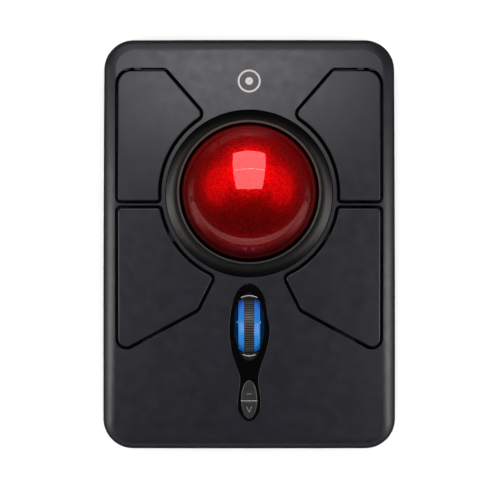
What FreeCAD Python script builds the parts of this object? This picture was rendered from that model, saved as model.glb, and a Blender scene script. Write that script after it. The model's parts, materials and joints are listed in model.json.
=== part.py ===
import FreeCAD, Part
import Sketcher
import math
import os
import re

os.makedirs("parts", exist_ok=True)
doc = FreeCAD.newDocument("trackball_mouse")

# ---------------------------------------------------------------- driving dimensions (mm)
# X is to the right, Y away from the user, Z up; the mouse stands on Z = 0.
SIZES = {
    # case
    "case_width": 108.6,
    "case_length": 151.6,
    "far_taper": 0.6,
    "corner_radius": 11.0,
    "base_height": 1.0,
    "base_round": 1.0,
    "floor_thickness": 2.0,
    "seam_height": 10.0,
    "seam_gap": 0.3,
    "wall": 2.5,
    "ridge_height": 35.0,
    "ridge_place": 25.0,
    "crown_long_radius": 319.0,
    "crown_cross_radius": 416.0,
    "form_height": 45.0,
    "shoulder_radius": 5.0,
    "edge_round": 0.4,
    # ball, its ring and its cup
    "ball_radius": 25.0,
    "ball_place": 19.4,
    "ball_height": 30.0,
    "ball_coat": 0.9,
    "ball_layer": 4.0,
    "layer_clearance": 0.05,
    "ring_place": 18.9,
    "ring_radius": 31.0,
    "ring_bore": 25.6,
    "ring_tilt": 1.15,
    "ring_height": 33.1,
    "cup_radius": 26.5,
    "cup_wall": 2.0,
    "cup_drain": 12.0,
    "bearing_radius": 1.25,
    # thumb and finger buttons
    "button_gap": 1.2,
    "button_ring_radius": 33.6,
    "button_outer_side": 48.5,
    "upper_far_edge": 64.3,
    "upper_corner_inset": 31.2,
    "upper_tip_side": 15.6,
    "upper_tip_place": 46.4,
    "upper_near_edge": 16.3,
    "lower_far_edge": 13.4,
    "lower_tip_side": 12.6,
    "lower_tip_place": -10.4,
    "lower_heel_side": 19.4,
    "lower_heel_place": -24.0,
    "lower_near_edge": -39.8,
    "pivot_radius": 1.5,
    "pivot_clearance": 0.08,
    "upper_pivot_place": 67.0,
    "upper_pivot_height": 25.0,
    "lower_pivot_place": -41.0,
    "lower_pivot_height": 21.3,
    "pivot_side": 35.5,
    "arm_width": 8.0,
    "lug_width": 2.4,
    "plunger_foot": 24.0,
    "switch_side": 38.0,
    "upper_switch_place": 26.0,
    "lower_switch_place": 6.0,
    # scroll wheel and its inset
    "wheel_place": -29.2,
    "wheel_height": 22.65,
    "wheel_radius": 11.5,
    "wheel_width": 8.1,
    "tread_width": 3.8,
    "tread_depth": 2.0,
    "rib_count": 76.0,
    "axle_radius": 1.5,
    "carrier_pivot_place": -13.5,
    "carrier_pivot_height": 21.0,
    "inset_proud": 0.2,
    "well_place": -30.5,
    "well_length": 25.8,
    "well_width": 11.3,
    "well_depth": 2.33,
    "well_tilt": 10.0,
    "wheel_gap": 0.6,
    "wheel_side_gap": 0.4,
    "dpi_place": -57.4,
    "dpi_split_place": -57.9,
    "dpi_split": 0.3,
    "dpi_length": 14.5,
    "dpi_width": 6.0,
    "dpi_gap": 0.2,
    "dpi_proud": 0.9,
    "dpi_foot": 20.95,
    # boards, cells and underside
    "board_height": 14.0,
    "board_thickness": 1.6,
    "cell_radius": 7.2,
    "cell_length": 50.5,
    "cell_pitch": 15.0,
    "cell_place": -56.0,
    "cell_height": 10.5,
    "door_width": 58.0,
    "door_far": -41.0,
    "foot_thickness": 1.4,
}

# places of the screws, seen from above
CASE_SCREWS = [(46, 67.5), (-46, 67.5), (44.5, -66.5), (-44.5, -66.5)]
BOARD_SCREWS = [(38, 60), (-38, 60), (37.5, -24), (-37.5, -24)]

# keyhole-shaped inset: half of its width, and the place along Y where it has that width
KEYHOLE = [
    (0, -14.3), (3.5, -16.2), (5.8, -20.2), (7.45, -28.5), (6.9, -38.0), (4.3, -46.0),
    (3.6, -50.0), (4.4, -57.2), (3.4, -62.8), (0, -65.7),
]

sheet = doc.addObject("Spreadsheet::Sheet", "sizes")
for row, (alias, value) in enumerate(SIZES.items(), start=1):
    sheet.set(f"A{row}", alias.replace("_", " "))
    sheet.set(f"B{row}", str(value))
    sheet.setAlias(f"B{row}", alias)
doc.recompute()


# ---------------------------------------------------------------- helpers
def formula(text):
    """Turn a formula of sheet aliases, such as 'wall / 2', into an expression."""
    return re.sub(r"[a-z_]+", lambda word: f"sizes.{word[0]}" if word[0] in SIZES else word[0], str(text))


def number(text):
    """Work out a formula of sheet aliases as a plain number."""
    names = re.sub(r"[a-z_]+", lambda word: str(SIZES.get(word[0], word[0])), str(text))
    total = FreeCAD.Units.Quantity(names)
    return float(total.Value)


def bind(made, **sizes):
    """Bind properties of an object to formulas of the sheet."""
    for name, text in sizes.items():
        made.setExpression(name, formula(text))
    return made


def place(made, x=0, y=0, z=0, axis=None, angle=0):
    """Place an object: the position is bound to the sheet, the direction is fixed."""
    if axis is not None:
        made.Placement.Rotation = FreeCAD.Rotation(FreeCAD.Vector(*axis), angle)
    for letter, text in zip("xyz", (x, y, z)):
        made.setExpression(f"Placement.Base.{letter}", formula(text))
    return made


def solid(kind, name, position=(0, 0, 0), axis=None, angle=0, **sizes):
    """Make a Part primitive whose sizes and position are formulas."""
    made = doc.addObject(f"Part::{kind}", name)
    bind(made, **sizes)
    return place(made, *position, axis=axis, angle=angle)


def box(name, low, size):
    """Make a block from its lowest corner and its three lengths."""
    return solid("Box", name, low, Length=size[0], Width=size[1], Height=size[2])


def rod(name, position, radius, length, direction="z"):
    """Make a round bar that starts at a point and runs along +X, +Y or +Z."""
    axis, angle = {"x": ((0, 1, 0), 90), "y": ((1, 0, 0), -90), "z": ((0, 0, 1), 0)}[direction]
    return solid("Cylinder", name, position, axis, angle, Radius=radius, Height=length)


def rods(name, spots, bottom, radius, length):
    """Make a row of equal upright bars, one at each spot."""
    return [rod(f"{name}_{index}", (x, y, bottom), radius, length) for index, (x, y) in enumerate(spots)]


def fuse(name, *pieces):
    made = doc.addObject("Part::MultiFuse", name)
    made.Shapes = list(pieces)
    return made


def common(name, *pieces):
    made = doc.addObject("Part::MultiCommon", name)
    made.Shapes = list(pieces)
    return made


def cut(name, base, *tools):
    made = doc.addObject("Part::Cut", name)
    made.Base = base
    made.Tool = tools[0] if len(tools) == 1 else fuse(f"{name}_tools", *tools)
    return made


def mirror(name, source):
    """Mirror a piece from the left side to the right side."""
    made = doc.addObject("Part::Mirroring", name)
    made.Source = source
    made.Normal = FreeCAD.Vector(1, 0, 0)
    return made


def new_body(name):
    return doc.addObject("PartDesign::Body", name)


def sketch_on(body, plane, name, offset=0):
    """Start a sketch on one of the body's own origin planes."""
    sketch = body.newObject("Sketcher::SketchObject", name)
    origin = next(item for item in body.Origin.OriginFeatures if item.Role == f"{plane}_Plane")
    sketch.AttachmentSupport = [(origin, "")]
    sketch.MapMode = "FlatFace"
    sketch.setExpression("AttachmentOffset.Base.z", formula(offset))
    return sketch


def pin_point(sketch, edge, end, x, y):
    """Hold one end of a sketch edge at (x, y), both formulas."""
    for kind, text, axis in (("DistanceX", x, -2), ("DistanceY", y, -1)):
        value = number(text)
        if abs(value) < 1e-9:
            sketch.addConstraint(Sketcher.Constraint("PointOnObject", edge, end, axis))
        else:
            held = sketch.addConstraint(Sketcher.Constraint(kind, -1, 1, edge, end, value))
            sketch.setExpression(f"Constraints[{held}]", formula(text))


def draw_outline(sketch, points, bulges=None):
    """Draw a closed outline through corners given by formulas, anticlockwise.

    bulges gives, for an edge that is an arc instead of a line, a place on that arc.
    """
    spots = [FreeCAD.Vector(number(x), number(y), 0) for x, y in points]
    edges = []
    for index, spot in enumerate(spots):
        following = spots[(index + 1) % len(spots)]
        if bulges and index in bulges:
            edge = Part.Arc(spot, FreeCAD.Vector(*bulges[index], 0), following)
        else:
            edge = Part.LineSegment(spot, following)
        edges.append(sketch.addGeometry(edge, False))
    for index, edge in enumerate(edges):
        following = edges[(index + 1) % len(edges)]
        sketch.addConstraint(Sketcher.Constraint("Coincident", edge, 2, following, 1))
        pin_point(sketch, edge, 1, *points[index])


def draw_rectangle(sketch, low, high):
    draw_outline(sketch, [low, (high[0], low[1]), high, (low[0], high[1])])


def draw_circle(sketch, x, y, radius):
    centre = FreeCAD.Vector(number(x), number(y), 0)
    circle = sketch.addGeometry(Part.Circle(centre, FreeCAD.Vector(0, 0, 1), number(radius)), False)
    pin_point(sketch, circle, 3, x, y)
    size = sketch.addConstraint(Sketcher.Constraint("Radius", circle, number(radius)))
    sketch.setExpression(f"Constraints[{size}]", formula(radius))


def pad(body, sketch, length):
    made = body.newObject("PartDesign::Pad", f"{body.Name}_pad")
    made.Profile = sketch
    return bind(made, Length=length)


def round_edges(body, radius, chosen, name="round"):
    """Fillet the edges of the body's tip that the test picks."""
    doc.recompute()
    tip = body.Tip
    edges = [f"Edge{index}" for index, edge in enumerate(tip.Shape.Edges, start=1) if chosen(edge)]
    made = body.newObject("PartDesign::Fillet", f"{body.Name}_{name}")
    made.Base = (tip, edges)
    return bind(made, Radius=radius)


def round_piece(name, source, radius, chosen):
    """Fillet the edges that the test picks, as an object of its own."""
    doc.recompute()
    made = doc.addObject("Part::Fillet", name)
    made.Base = source
    size = number(radius)
    made.Edges = [
        (index, size, size) for index, edge in enumerate(source.Shape.Edges, start=1) if chosen(edge)
    ]
    return made


def upright(edge):
    """Say whether an edge runs straight up."""
    return edge.BoundBox.ZLength > 0.1 and edge.BoundBox.XLength + edge.BoundBox.YLength < 1e-3


def plate(name, low, high, bottom, thickness, corner=None):
    """Make a flat plate with an upright outline, with rounded corners if asked."""
    body = new_body(name)
    sketch = sketch_on(body, "XY", f"{name}_outline", bottom)
    draw_rectangle(sketch, low, high)
    pad(body, sketch, thickness)
    if corner is not None:
        round_edges(body, corner, upright, "corners")
    return body


# ---------------------------------------------------------------- case form
def case_plate(name, inset, bottom, height):
    """Make an upright block with the case's outline, which narrows a little towards the far end."""
    side = f"(case_width / 2 - ({inset}))"
    far_side = f"(case_width / 2 - far_taper - ({inset}))"
    end = f"(case_length / 2 - ({inset}))"
    corners = [(f"-{side}", f"-{end}"), (side, f"-{end}"), (far_side, end), (f"-{far_side}", end)]
    body = new_body(name)
    sketch = sketch_on(body, "XY", f"{name}_outline", bottom)
    draw_outline(sketch, corners)
    pad(body, sketch, height)
    round_edges(body, f"corner_radius - ({inset})", upright, "corners")
    return body


def case_form(name, inset, bottom):
    """Make the rounded case as a solid whose walls and top are inset by a formula."""
    body = case_plate(name, inset, bottom, "form_height")

    crown = sketch_on(body, "YZ", f"{name}_crown")
    arc_radius = f"crown_long_radius - ({inset})"
    centre = FreeCAD.Vector(SIZES["ridge_place"], number("ridge_height - crown_long_radius"), 0)
    circle = Part.Circle(centre, FreeCAD.Vector(0, 0, 1), number(arc_radius))
    reach = math.radians(21)
    arc = crown.addGeometry(Part.ArcOfCircle(circle, math.pi / 2 - reach, math.pi / 2 + reach), False)
    pin_point(crown, arc, 3, "ridge_place", "ridge_height - crown_long_radius")
    size = crown.addConstraint(Sketcher.Constraint("Radius", arc, number(arc_radius)))
    crown.setExpression(f"Constraints[{size}]", formula(arc_radius))
    right = crown.getPoint(arc, 1)
    left = crown.getPoint(arc, 2)
    roof = 60
    past_end = "case_length / 2 + 15"
    corners = [right, FreeCAD.Vector(right.x, roof, 0), FreeCAD.Vector(left.x, roof, 0), left]
    lines = [
        crown.addGeometry(Part.LineSegment(start, finish), False)
        for start, finish in zip(corners, corners[1:])
    ]
    crown.addConstraint(Sketcher.Constraint("Coincident", arc, 1, lines[0], 1))
    crown.addConstraint(Sketcher.Constraint("Coincident", lines[0], 2, lines[1], 1))
    crown.addConstraint(Sketcher.Constraint("Coincident", lines[1], 2, lines[2], 1))
    crown.addConstraint(Sketcher.Constraint("Coincident", lines[2], 2, arc, 2))
    crown.addConstraint(Sketcher.Constraint("Vertical", lines[0]))
    crown.addConstraint(Sketcher.Constraint("Vertical", lines[2]))
    pin_point(crown, lines[1], 1, past_end, roof)
    pin_point(crown, lines[1], 2, f"-({past_end})", roof)
    axis_height = number("ridge_height - crown_cross_radius")
    axis = crown.addGeometry(
        Part.LineSegment(FreeCAD.Vector(-10, axis_height, 0), FreeCAD.Vector(10, axis_height, 0)), True
    )
    pin_point(crown, axis, 1, -10, "ridge_height - crown_cross_radius")
    pin_point(crown, axis, 2, 10, "ridge_height - crown_cross_radius")

    groove = body.newObject("PartDesign::Groove", f"{name}_top")
    groove.Profile = crown
    groove.ReferenceAxis = (crown, ["Axis0"])
    groove.Midplane = True
    groove.Angle = 20
    round_edges(body, f"shoulder_radius - ({inset})", lambda edge: edge.BoundBox.ZMin > 8, "shoulder")
    return body


outer_form = case_form("outer_form", 0, "base_height")
round_edges(outer_form, "base_round", lambda edge: edge.BoundBox.ZMax < number("base_height") + 0.1, "base")
inner_form = case_form("inner_form", "wall", "base_height + floor_thickness")
skin_form = case_form("skin_form", "wall / 2", "base_height + floor_thickness / 2")
proud_form = case_form("proud_form", "-inset_proud", "base_height")
dpi_form = case_form("dpi_form", "-dpi_proud", "base_height")
case_walls = cut("case_walls", outer_form, inner_form)
doc.recompute()


def crown_height(x, y):
    """Work out the height of the case's crowned top above a place."""
    along = SIZES["crown_long_radius"]
    across = SIZES["crown_cross_radius"]
    ridge = SIZES["ridge_height"]
    profile = ridge - along + math.sqrt(along ** 2 - (y - SIZES["ridge_place"]) ** 2)
    return ridge - across + math.sqrt((across - ridge + profile) ** 2 - x ** 2)


def on_crown(edge, proud=0):
    """Say whether an edge lies in the case's crowned top, or a little above it."""
    return all(abs(spot.Z - crown_height(spot.X, spot.Y) - proud) < 0.02 for spot in edge.Vertexes)


# ---------------------------------------------------------------- finger buttons
OUTLINE_LOW = 18
OUTLINE_HEIGHT = 22
CORNER_REACH = 3


def button_outline(name, corners, rounds):
    """Make the upright block that bounds one left button, hollowed to follow the ball ring."""
    body = new_body(name)
    sketch = sketch_on(body, "XY", f"{name}_sketch", OUTLINE_LOW)
    draw_outline(sketch, corners)
    pad(body, sketch, OUTLINE_HEIGHT)
    ring = sketch_on(body, "XY", f"{name}_ring_sketch", OUTLINE_LOW)
    draw_circle(ring, 0, "ring_place", "button_ring_radius")
    pocket = body.newObject("PartDesign::Pocket", f"{name}_ring")
    pocket.Profile = ring
    pocket.Reversed = True
    bind(pocket, Length=OUTLINE_HEIGHT)
    for radius, x, y in rounds:
        near = FreeCAD.Vector(number(x), number(y), 0)
        round_edges(
            body, radius,
            lambda edge: upright(edge) and math.dist(near[:2], edge.CenterOfMass[:2]) < CORNER_REACH,
            f"round_{len(body.Group)}",
        )
    return body


upper_outline = button_outline("upper_outline", [
    ("-button_outer_side", "upper_near_edge"),
    ("-20", "upper_near_edge"),
    ("-upper_tip_side", "upper_tip_place"),
    ("-upper_corner_inset", "upper_far_edge"),
    ("-button_outer_side", "upper_far_edge"),
], [
    (5, "-button_outer_side", "upper_far_edge"),
    (0.8, "-upper_corner_inset", "upper_far_edge"),
    (2.2, "-upper_tip_side", "upper_tip_place"),
    (1.2, "-button_outer_side", "upper_near_edge"),
    (0.8, "-33", "upper_near_edge"),
])
lower_outline = button_outline("lower_outline", [
    ("-button_outer_side", "lower_far_edge"),
    ("-20", "lower_far_edge"),
    ("-lower_tip_side", "lower_tip_place"),
    ("-lower_heel_side", "lower_heel_place"),
    ("-button_outer_side", "lower_near_edge"),
], [
    (2.5, "-lower_heel_side", "lower_heel_place"),
    (1.5, "-lower_tip_side", "lower_tip_place"),
    (3, "-button_outer_side", "lower_near_edge"),
    (1.2, "-button_outer_side", "lower_far_edge"),
    (0.8, "-32.7", "lower_far_edge"),
])
doc.recompute()


def left_button(name, outline, pivot_place, pivot_height, riser_place, switch_place):
    """Make a left button: its cap, its arm with two trunnions and its plunger."""
    cap = cut(f"{name}_cap", common(f"{name}_slab", outer_form, outline), inner_form)
    rounded = round_piece(f"{name}_rounded", cap, "edge_round", on_crown)
    arm_side = "-(pivot_side + arm_width / 2)"
    reach = f"({pivot_place}) - ({riser_place})"
    forward = number(reach) > 0
    arm_start = riser_place if forward else pivot_place
    arm_length = reach if forward else f"-({reach})"
    riser_start = riser_place if forward else f"{riser_place} - 4"
    arm_low = f"{pivot_height} - pivot_radius"
    arm = box(f"{name}_arm", (arm_side, arm_start, arm_low), ("arm_width", arm_length, "2 * pivot_radius"))
    riser = box(f"{name}_riser", (arm_side, riser_start, arm_low), ("arm_width", 4, 20))
    knuckle = rod(f"{name}_knuckle", (arm_side, pivot_place, pivot_height), "pivot_radius", "arm_width", "x")
    pin_start = "-(pivot_side + arm_width / 2 + lug_width + 0.5)"
    pin_length = "arm_width + 2 * lug_width + 1"
    pin = rod(f"{name}_pin", (pin_start, pivot_place, pivot_height), "pivot_radius", pin_length, "x")
    plunger = rod(f"{name}_plunger", ("-switch_side", switch_place, "plunger_foot"), 1.6, 15)
    works = fuse(f"{name}_works", arm, riser, knuckle, pin, plunger)
    trimmed = common(f"{name}_trimmed", works, skin_form)
    return fuse(name, rounded, trimmed)


def pivot_lugs(name, pivot_place, pivot_height):
    """Make the two lugs that carry a left button's trunnions, as tall blocks with a bore."""
    lugs = []
    for side, start in (("outer", "-(pivot_side + arm_width / 2 + lug_width + 0.5)"),
                        ("inner", "-(pivot_side - arm_width / 2 - 0.5)")):
        low = (start, f"{pivot_place} - 2.2", f"{pivot_height} - 2.2")
        lugs.append(box(f"{name}_{side}", low, ("lug_width", 4.4, 20)))
    bore_start = "-(pivot_side + arm_width)"
    bore = rod(
        f"{name}_bore", (bore_start, pivot_place, pivot_height),
        "pivot_radius + pivot_clearance", "2 * arm_width", "x",
    )
    return cut(name, fuse(f"{name}_blocks", *lugs), bore)


upper_left_button = left_button(
    "upper_left_button", upper_outline, "upper_pivot_place", "upper_pivot_height",
    "upper_far_edge - 8", "upper_switch_place",
)
lower_left_button = left_button(
    "lower_left_button", lower_outline, "lower_pivot_place", "lower_pivot_height",
    "lower_near_edge + 14", "lower_switch_place",
)
upper_right_button = mirror("upper_right_button", upper_left_button)
lower_right_button = mirror("lower_right_button", lower_left_button)
upper_lugs = pivot_lugs("upper_lugs", "upper_pivot_place", "upper_pivot_height")
lower_lugs = pivot_lugs("lower_lugs", "lower_pivot_place", "lower_pivot_height")


# ---------------------------------------------------------------- glossy inset around the wheel
def oval_block(name, place_y, length, width, bottom=15, height=25):
    """Make an upright block with an oval outline, longer along Y."""
    oval = solid("Ellipse", f"{name}_oval", (0, place_y, bottom), (0, 0, 1), 90,
                 MajorRadius=f"({length}) / 2", MinorRadius=f"({width}) / 2")
    made = doc.addObject("Part::Extrusion", name)
    made.Base = oval
    made.Dir = FreeCAD.Vector(0, 0, 1)
    made.DirMode = "Custom"
    made.Solid = True
    return bind(made, LengthFwd=height)


def offset_block(name, source, gap):
    """Make the opening for a block: the block grown by a gap."""
    doc.recompute()
    made = doc.addObject("Part::Offset", name)
    made.Source = source
    return bind(made, Value=gap)


def keyhole_block(name, gap, bottom=15, height=25):
    """Make an upright block with the keyhole's smooth outline, grown by a gap."""
    far, *middle, near = KEYHOLE
    right = [(x + gap, y) for x, y in middle]
    loop = [(0, far[1] + gap), *right, (0, near[1] - gap), *((-x, y) for x, y in reversed(right))]
    widest = loop.index(max(loop))
    loop = loop[widest:] + loop[:widest]
    outline = Part.BSplineCurve()
    outline.interpolate([FreeCAD.Vector(x, y, bottom) for x, y in loop], PeriodicFlag=True)
    made = doc.addObject("Part::Feature", name)
    made.Shape = Part.Face(Part.Wire(outline.toShape())).extrude(FreeCAD.Vector(0, 0, height))
    return made


keyhole = keyhole_block("keyhole", 0)
inset_plate = round_piece(
    "inset_plate", cut("inset_slab", common("inset_raw", proud_form, keyhole), inner_form), 0.3,
    lambda edge: on_crown(edge, SIZES["inset_proud"]),
)

# the dish around the wheel is a slice of a spindle, whose axis lies above the case
well_cross_radius = "((well_width / 2)^2 + well_depth^2) / (2 * well_depth)"
well_long_radius = "((well_length / 2)^2 + well_depth^2) / (2 * well_depth)"
well_surface = crown_height(0, SIZES["well_place"]) + SIZES["inset_proud"]
well_axis_height = well_surface + number(f"{well_cross_radius} - well_depth")
well_reach = math.sqrt(
    number(well_cross_radius) * (2 * number(well_long_radius) - number(well_cross_radius))
)
well = new_body("well")
place(well, 0, "well_place", well_axis_height, (1, 0, 0), SIZES["well_tilt"])
well_sketch = sketch_on(well, "YZ", "well_sketch")
well_ends = [FreeCAD.Vector(-well_reach, 0, 0), FreeCAD.Vector(well_reach, 0, 0)]
well_bottom = FreeCAD.Vector(0, -number(well_cross_radius), 0)
well_sketch.addGeometry(Part.Arc(well_ends[0], well_bottom, well_ends[1]), False)
well_sketch.addGeometry(Part.LineSegment(*well_ends), False)
well_turn = well.newObject("PartDesign::Revolution", "well_turn")
well_turn.Profile = well_sketch
well_turn.ReferenceAxis = (well_sketch, ["H_Axis"])

wheel_opening = rod(
    "wheel_opening", ("-(wheel_width / 2 + wheel_side_gap)", "wheel_place", "wheel_height"),
    "wheel_radius + wheel_gap", "wheel_width + 2 * wheel_side_gap", "x",
)
dpi_block = oval_block("dpi_block", "dpi_place", "dpi_length", "dpi_width")
dpi_opening = offset_block("dpi_opening", dpi_block, "dpi_gap")
wheel_bezel = cut("wheel_bezel", inset_plate, well, wheel_opening, dpi_opening)

dpi_solid = common("dpi_solid", dpi_form, dpi_block)
DPI_HALVES = {"up": "dpi_split_place + dpi_split / 2", "down": "dpi_split_place - dpi_split / 2 - 20"}
for side, low in DPI_HALVES.items():
    half = box(f"dpi_{side}_half", (-5, low, "dpi_foot"), (10, 20, 20))
    raw = common(f"dpi_{side}_raw", dpi_solid, half)
    round_piece(f"dpi_{side}_button", raw, 0.4, lambda edge: edge.BoundBox.ZMin > number("dpi_foot") + 1.2)

# ---------------------------------------------------------------- ball, ring and cup
core_radius = "ball_radius - ball_coat - ball_layer - 2 * layer_clearance"
ball_centre = (0, "ball_place", "ball_height")


def ball_shell(name, outside, inside):
    whole = solid("Sphere", f"{name}_whole", ball_centre, Radius=outside)
    hollow = solid("Sphere", f"{name}_hollow", ball_centre, Radius=inside)
    return cut(name, whole, hollow)


solid("Sphere", "ball_core", ball_centre, Radius=core_radius)
ball_shell("ball_body", "ball_radius - ball_coat - layer_clearance",
           "ball_radius - ball_coat - layer_clearance - ball_layer")
ball_shell("ball_pearl_coat", "ball_radius", "ball_radius - ball_coat")

# the ring's top swells to a low crest between its two rims
RING_CREST = (29, 0.26)
RING_CREST_EDGE = 5
ring_body = new_body("ring_body")
place(ring_body, 0, "ring_place", "ring_height", (1, 0, 0), SIZES["ring_tilt"])
ring_profile = sketch_on(ring_body, "XZ", "ring_profile")
draw_outline(ring_profile, [
    (24, -4.5), ("ring_radius + 0.9", -4.5), ("ring_radius + 0.9", -3.3), ("ring_radius", -3.3),
    ("ring_radius", -0.25), ("ring_radius - 0.25", 0), (26.5, 0.3), (26.5, -2), (24, -2),
], {RING_CREST_EDGE: RING_CREST})
ring_turn = ring_body.newObject("PartDesign::Revolution", "ring_turn")
ring_turn.Profile = ring_profile
ring_turn.ReferenceAxis = (ring_profile, ["V_Axis"])
ring_bead = solid("Torus", "ring_bead", (0, "ball_place", "ring_height - 0.6"),
                  Radius1="ring_bore + 0.65", Radius2=0.65)
ring_hole = rod("ring_hole", (0, "ball_place", 20), "ring_bore", 20)
ring_hole_wide = rod("ring_hole_wide", (0, "ball_place", 20), "ring_bore + 0.65", 20)
ball_ring = fuse("ball_ring", cut("ring_open", ring_body, ring_hole_wide),
                 cut("ring_lip", common("ring_lip_raw", ring_body, ring_hole_wide), ring_hole), ring_bead)

cup_ball = solid("Sphere", "cup_ball", ball_centre, Radius="cup_radius + cup_wall")
cup_hollow = solid("Sphere", "cup_hollow", ball_centre, Radius="cup_radius")
cup_drain_hole = rod("cup_drain_hole", (0, "ball_place", 0), "cup_drain", 20)
cup_band = rod("cup_band", (0, "ball_place", 3), 40, 24.6)
cup_flange = rod("cup_flange", (0, "ball_place", 26), 31.6, 1.6)
cup_bowl = common("cup_bowl", cup_ball, cup_band)
POST_ANGLES = (90, 210, 330)
posts = []
cup_posts = []
bearings = []
sockets = []
for index, angle in enumerate(POST_ANGLES):
    turn = f"{angle} deg"
    post_x = f"31.8 * cos({turn})"
    post_y = f"ball_place + 31.8 * sin({turn})"
    cup_posts.append((post_x, post_y))
    post = rod(f"cup_post_{index}", (post_x, post_y, "board_height + board_thickness"), 2.4, 12)
    pilot = rod(f"cup_pilot_{index}", (post_x, post_y, "board_height"), 0.95, 8)
    posts.append(cut(f"cup_pillar_{index}", post, pilot))
    reach = "(ball_radius + bearing_radius + 0.03)"
    spot = (
        f"{reach} * cos(35 deg) * cos({turn})",
        f"ball_place + {reach} * cos(35 deg) * sin({turn})",
        f"ball_height - {reach} * sin(35 deg)",
    )
    bearings.append(solid("Sphere", f"bearing_{index}", spot, Radius="bearing_radius"))
    sockets.append(solid("Sphere", f"socket_{index}", spot, Radius="bearing_radius + 0.04"))


cup_drilled = cut(
    "cup_drilled",
    fuse("cup_solid", cup_bowl, cup_flange, *posts), cup_hollow, cup_drain_hole, *sockets,
)
ball_bearings = doc.addObject("Part::Compound", "ball_bearings")
ball_bearings.Links = bearings

# ---------------------------------------------------------------- ball sensor, built along its own axis
SENSOR_TURN = 130


def on_sensor_axis(piece):
    """Place a piece at the ball's centre with its Z along the sensor's line of sight."""
    return place(piece, *ball_centre, (1, 0, 0), SENSOR_TURN)


sensor_board = on_sensor_axis(plate("sensor_board", (-7, -5), (7, 5), 31.6, 1))
sensor_chip = on_sensor_axis(plate("sensor_chip", (-5, -4), (5, 4), 29.9, 1.7))
lens_body = on_sensor_axis(new_body("sensor_lens"))
lens_sketch = sketch_on(lens_body, "XY", "lens_sketch", 26.7)
draw_circle(lens_sketch, 0, 0, 3.7)
pad(lens_body, lens_sketch, 3.1)
window_body = on_sensor_axis(new_body("sensor_window"))
window_sketch = sketch_on(window_body, "XY", "window_sketch", 20)
draw_circle(window_sketch, 0, 0, 3.8)
pad(window_body, window_sketch, 10)
ball_cup = cut("ball_cup", cup_drilled, window_body)

# ---------------------------------------------------------------- scroll wheel on its carrier
wheel_centre = (0, "wheel_place", "wheel_height")
wheel_hub = place(new_body("wheel_hub"), *wheel_centre)
hub_profile = sketch_on(wheel_hub, "XZ", "hub_profile")
half_width = "wheel_width / 2"
half_tread = "tread_width / 2"
tread_seat = "wheel_radius - tread_depth"
half_hub = [
    (half_tread, tread_seat), (half_tread, f"{tread_seat} + 1.3"),
    (f"{half_width} - 0.5", f"{tread_seat} + 0.4"), (half_width, f"{tread_seat} - 0.3"),
    (half_width, f"{tread_seat} - 1.3"), (f"{half_width} - 1.8", f"{tread_seat} - 1.9"),
    (f"{half_width} - 1.8", 4.4), (half_width, 3.8), (half_width, "axle_radius"),
]
draw_outline(hub_profile, [(f"-({x})", z) for x, z in reversed(half_hub)] + half_hub)
hub_turn = wheel_hub.newObject("PartDesign::Revolution", "hub_turn")
hub_turn.Profile = hub_profile
hub_turn.ReferenceAxis = (hub_profile, ["H_Axis"])

wheel_tyre = place(new_body("wheel_tyre"), *wheel_centre)
tyre_sketch = sketch_on(wheel_tyre, "YZ", "tyre_sketch")
draw_circle(tyre_sketch, 0, 0, "wheel_radius")
draw_circle(tyre_sketch, 0, 0, tread_seat)
tyre_pad = pad(wheel_tyre, tyre_sketch, "tread_width")
tyre_pad.Midplane = True
round_edges(wheel_tyre, 0.7, lambda edge: edge.Length > 2 * math.pi * number("wheel_radius - 0.1"))
rib_sketch = sketch_on(wheel_tyre, "YZ", "rib_sketch")
draw_rectangle(rib_sketch, (-0.3, "wheel_radius - 0.55"), (0.3, "wheel_radius + 1"))
rib_pocket = wheel_tyre.newObject("PartDesign::Pocket", "rib_pocket")
rib_pocket.Profile = rib_sketch
rib_pocket.Midplane = True
bind(rib_pocket, Length="tread_width + 1")
ribs = wheel_tyre.newObject("PartDesign::PolarPattern", "ribs")
ribs.Originals = [rib_pocket]
ribs.Axis = (next(item for item in wheel_tyre.Origin.OriginFeatures if item.Role == "X_Axis"), [""])
ribs.Angle = 360
bind(ribs, Occurrences="rib_count")
wheel_tyre.Tip = ribs

wheel_axle = rod("wheel_axle", (-10.5, "wheel_place", "wheel_height"), "axle_radius", 17.9, "x")
wheel_encoder = cut(
    "wheel_encoder", box("encoder_block", (-12.4, "wheel_place - 6", 16.6), (5, 12, 8.6)),
    rod("encoder_bore", (-12.6, "wheel_place", "wheel_height"), "axle_radius + 0.1", 6, "x"),
)
carrier_arm_size = (2, "carrier_pivot_place - wheel_place + 5", 6.4)
carrier_arms = [
    box(f"carrier_arm_{side}", (start, "wheel_place - 4", 19), carrier_arm_size)
    for side, start in (("left", -7.3), ("right", 5.3))
]
carrier_bar = box("carrier_bar", (-7.3, "carrier_pivot_place - 2.5", 19), (14.6, 4, 4))
carrier_tab = box("carrier_tab", (5.3, "wheel_place - 2", 20.4), (9.4, 4, 1.8))
carrier_pivot = ("carrier_pivot_place", "carrier_pivot_height")
carrier_pin = rod("carrier_pin", (-11.4, *carrier_pivot), "axle_radius", 22.8, "x")
carrier_bore = rod("carrier_bore", (-9, "wheel_place", "wheel_height"), "axle_radius + 0.1", 18, "x")
carrier_solid = fuse("carrier_solid", *carrier_arms, carrier_bar, carrier_tab, carrier_pin)
wheel_carrier = cut("wheel_carrier", carrier_solid, carrier_bore)
board_top = "board_height + board_thickness"
bracket_posts = [
    box(f"bracket_post_{side}", (start, "carrier_pivot_place - 2.5", board_top), (2.5, 5, 8.5))
    for side, start in (("left", -11.2), ("right", 8.7))
]
bracket_foot = box("bracket_foot", (-11.2, "carrier_pivot_place - 2.5", board_top), (22.4, 5, 1.2))
bracket_bore = rod("bracket_bore", (-13, *carrier_pivot), "axle_radius + pivot_clearance", 26, "x")
wheel_bracket = cut("wheel_bracket", fuse("bracket_solid", *bracket_posts, bracket_foot), bracket_bore)


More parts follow.
